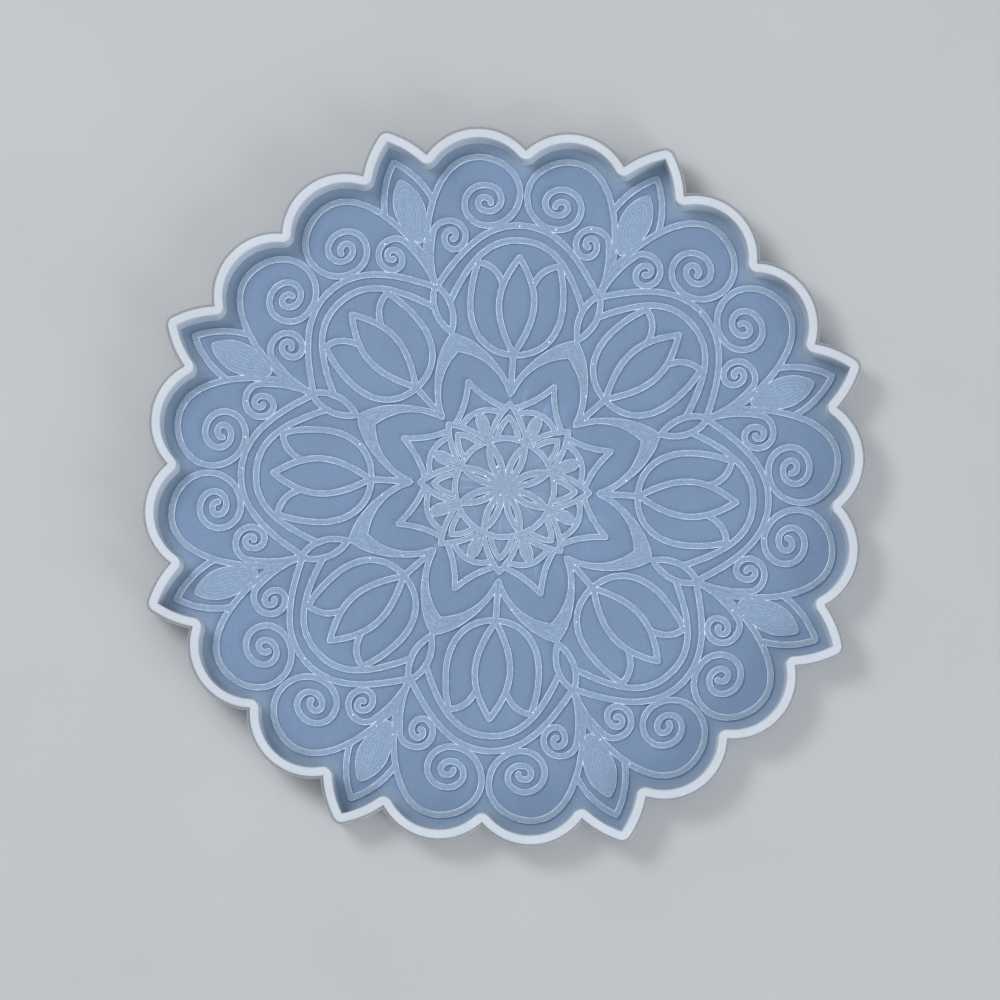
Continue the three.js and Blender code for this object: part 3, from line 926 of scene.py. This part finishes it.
def relief_material():
    """Ridges lighter than the floor, with a painted highlight along every edge, and inside it the
    fine lines that the cutter left in the maker's own form. Painted sheen lightens the ridges in
    the middle, and painted wall light greys those beside the wall."""
    finish = Finish("silicone_relief")
    edge = finish.attribute("edge")
    from_axis = finish.from_axis()
    wander = finish.math("MULTIPLY", finish.noise(1.2, 2.0), 0.25)
    passes = finish.waves(finish.math("ADD", edge, wander), FINE_PASS)
    deep = finish.ramp(edge, 0.9, 1.3)
    worn = finish.ramp(finish.noise(2.6, 1.0), 0.38, 0.62, 0.25, 1)
    worn = finish.math("MULTIPLY", worn, finish.ramp(deep, 0, 1, 1, 0.3))
    passes = finish.math("MULTIPLY", finish.ramp(passes, -0.2, 1, -0.1, 0.25), worn)
    half_wander = finish.math("MULTIPLY", wander, 0.5)
    contours = finish.waves(finish.math("ADD", edge, half_wander), WIDE_PASS)
    contours = finish.math("MULTIPLY", finish.ramp(contours, 0, 1, -0.05, 0.15), deep)
    passes = finish.math("MULTIPLY", passes, finish.ramp(from_axis, *STRONG_LINES, 1.5, 1))
    lines = finish.math("ADD", passes, contours)
    lines = finish.math("MULTIPLY", lines, finish.ramp(from_axis, *HUB))
    # Painted highlight: a bright line along each ridge's top edge, where the rounded edge would
    # catch the light.
    on_top = finish.ramp(finish.height(), RELIEF_TOP - 0.4, RELIEF_TOP - 0.22)
    painted_edge_highlight = finish.math("MULTIPLY", finish.ramp(edge, 0.1, 0.32, 1, 0), on_top)
    uneven = finish.ramp(finish.noise(2.2, 1.0), 0.35, 0.6, 0.5, 1)
    painted_edge_highlight = finish.math("MULTIPLY", painted_edge_highlight, uneven)
    dust = finish.ramp(finish.noise(0.5, 2.0, 0.7), 0.35, 0.75, -0.06, 0.18)
    brightness = finish.math("ADD", finish.math("ADD", 0.96, dust), lines)
    # Painted light: ridges close to the wall are painted greyer, as if lit by the white wall.
    body = finish.mix(finish.ramp(from_axis, *RIDGE_WALL_LIGHT_ZONE), RIDGE_BLUE, RIDGE_WALL_LIGHT_GREY)
    # Painted sheen: ridges in the middle of the mould are painted lighter.
    body = finish.mix(finish.ramp(from_axis, *RIDGE_SHEEN_ZONE, 1, 0), body, RIDGE_SHEEN_BLUE)
    colour = finish.mix(painted_edge_highlight, body, EDGE_HIGHLIGHT_PAINT)
    colour = finish.shaded(colour, finish.math("MULTIPLY", brightness, grain(finish, 0.03)))
    rough = finish.mottle(0.8, 0.34, 0.55)
    bump = finish.bump(finish.noise(0.45, 2.0), 0.02)
    return finish.set(base_color=colour, roughness=rough, normal=bump, ior=SILICONE_IOR)


def bubble_material():
    """Almost white, a painted glint, and shiny, so that the bubbles glint."""
    finish = Finish("air_bubbles")
    # Painted highlight: the domes are coloured near white so that they show as glints.
    colour = finish.shaded(BUBBLE_GLINT_WHITE, finish.mottle(0.6, 0.92, 1))
    rough = finish.mottle(0.4, 0.1, 0.25)
    return finish.set(base_color=colour, roughness=rough, ior=SILICONE_IOR)


def lip_material():
    """A clear film, less clear along its thicker outer bead, which is painted whiter as an edge
    highlight.
    """
    finish = Finish("silicone_lip")
    inset = finish.attribute("inset")
    # Partly the thicker bead, partly a painted edge highlight: the outer bead is whiter.
    outer = finish.ramp(inset, -LIP_REACH, -LIP_REACH + 0.3, 1, 0)
    colour = finish.mix(outer, LIP_CLEAR, LIP_EDGE_HIGHLIGHT)
    colour = finish.shaded(colour, grain(finish, 0.05))
    alpha = finish.ramp(outer, 0, 1, 0.45, 0.8)
    rough = finish.mottle(2, 0.18, 0.3)
    return finish.set(base_color=colour, roughness=rough, alpha=alpha, ior=SILICONE_IOR)


def stage_material():
    finish = Finish("pale_floor")
    tone = finish.shaded(STAGE_GREY, finish.mottle(60, 0.985, 1.015, 3.0))
    return finish.set(base_color=tone, roughness=0.9)


# ---- Stage, light and camera ----

IMAGE_TURN = math.radians(3.75)
IMAGE_RIGHT = Vector((math.cos(IMAGE_TURN), math.sin(IMAGE_TURN), 0))
IMAGE_UP = Vector((-math.sin(IMAGE_TURN), math.cos(IMAGE_TURN), 0))

CAMERA_TILT = math.radians(5.1)
CAMERA_DISTANCE = 2.3
VIEW_WIDTH = 0.2778
SENSOR_WIDTH = 36
AIM_RIGHT = -1.27 * MM
AIM_UP = -3.4 * MM

STAGE_REACH = 1.5
STAGE_HEIGHT = -0.1 * MM

LIGHT_DISTANCE = 1.5
KEY_DIRECTION = IMAGE_RIGHT * -0.62 + IMAGE_UP * 0.5 + Vector((0, 0, 1))
FILL_DIRECTION = IMAGE_RIGHT * 0.75 - IMAGE_UP * 0.65 + Vector((0, 0, 0.5))
ARCH_SIDE = IMAGE_RIGHT * 0.64 + IMAGE_UP * 0.77
ARCH_STRENGTH = 0.98
SIDE_STRENGTH = 0.18
SKY = (0.93, 0.96, 1, 1)


def look_along(obj, back, up):
    """Turns a camera or light so that its back faces one way and its top another."""
    z = back.normalized()
    y = (up - z * up.dot(z)).normalized()
    x = y.cross(z)
    rotation = obj.rotation_euler.to_matrix()
    for row in range(3):
        rotation[row] = (x[row], y[row], z[row])
    obj.rotation_euler = rotation.to_euler()


def build_stage():
    mesh = bpy.data.meshes.new("stage_floor")
    signs = ((-1, -1), (1, -1), (1, 1), (-1, 1))
    corners = [(STAGE_REACH * x, STAGE_REACH * y, STAGE_HEIGHT) for x, y in signs]
    mesh.from_pydata(corners, [], [(0, 1, 2, 3)])
    mesh.materials.append(stage_material())
    floor = bpy.data.objects.new("stage_floor", mesh)
    bpy.context.scene.collection.objects.link(floor)


def add_light(name, direction, size, power, colour):
    """A round soft light that shines on the mould from a direction."""
    light = bpy.data.lights.new(name, "AREA")
    light.shape = "DISK"
    light.size = size
    light.energy = power
    light.color = colour
    lamp = bpy.data.objects.new(name, light)
    lamp.location = direction.normalized() * LIGHT_DISTANCE
    look_along(lamp, direction, Vector((0.01, 1, 0)))
    bpy.context.scene.collection.objects.link(lamp)


def build_world():
    """Light from all round, strongest in a broad arch over the mould, from the upper left of the
    image to its lower right."""
    world = bpy.data.worlds.new("studio")
    world.use_nodes = True
    nodes, links = world.node_tree.nodes, world.node_tree.links
    direction = nodes.new("ShaderNodeTexCoord")
    across = nodes.new("ShaderNodeVectorMath")
    across.operation = "DOT_PRODUCT"
    links.new(direction.outputs["Generated"], across.inputs[0])
    across.inputs[1].default_value = ARCH_SIDE
    aside = nodes.new("ShaderNodeMath")
    aside.operation = "ABSOLUTE"
    links.new(across.outputs["Value"], aside.inputs[0])
    fade = nodes.new("ShaderNodeMapRange")
    fade.interpolation_type = "SMOOTHSTEP"
    links.new(aside.outputs[0], fade.inputs["Value"])
    fade.inputs["To Min"].default_value = ARCH_STRENGTH
    fade.inputs["To Max"].default_value = SIDE_STRENGTH
    background = nodes["Background"]
    background.inputs["Color"].default_value = SKY
    links.new(fade.outputs[0], background.inputs["Strength"])
    bpy.context.scene.world = world


def build_light():
    add_light("key", KEY_DIRECTION, 0.55, 7.3, (1, 0.99, 0.97))
    add_light("fill", FILL_DIRECTION, 0.8, 6.5, (0.98, 0.99, 1))
    bpy.context.scene.view_settings.view_transform = "Standard"


def build_camera():
    """Almost straight above, tilted a little towards the bottom of the image."""
    lens = bpy.data.cameras.new("camera")
    lens.sensor_width = SENSOR_WIDTH
    lens.lens = SENSOR_WIDTH * CAMERA_DISTANCE / VIEW_WIDTH
    lens.clip_end = 20
    camera = bpy.data.objects.new("camera", lens)
    sideways = (IMAGE_RIGHT * 0.24 - IMAGE_UP * 0.97) * math.sin(CAMERA_TILT)
    back = sideways + Vector((0, 0, math.cos(CAMERA_TILT)))
    aim = IMAGE_RIGHT * AIM_RIGHT + IMAGE_UP * AIM_UP + Vector((0, 0, FLOOR_TOP * MM))
    camera.location = aim + back * CAMERA_DISTANCE
    look_along(camera, back, IMAGE_UP)
    bpy.context.scene.collection.objects.link(camera)
    bpy.context.scene.camera = camera


build_shell(shell_material())
build_lip(lip_material())
build_relief(relief_material())
build_bubbles(bubble_material())
build_stage()
build_world()
build_light()
build_camera()
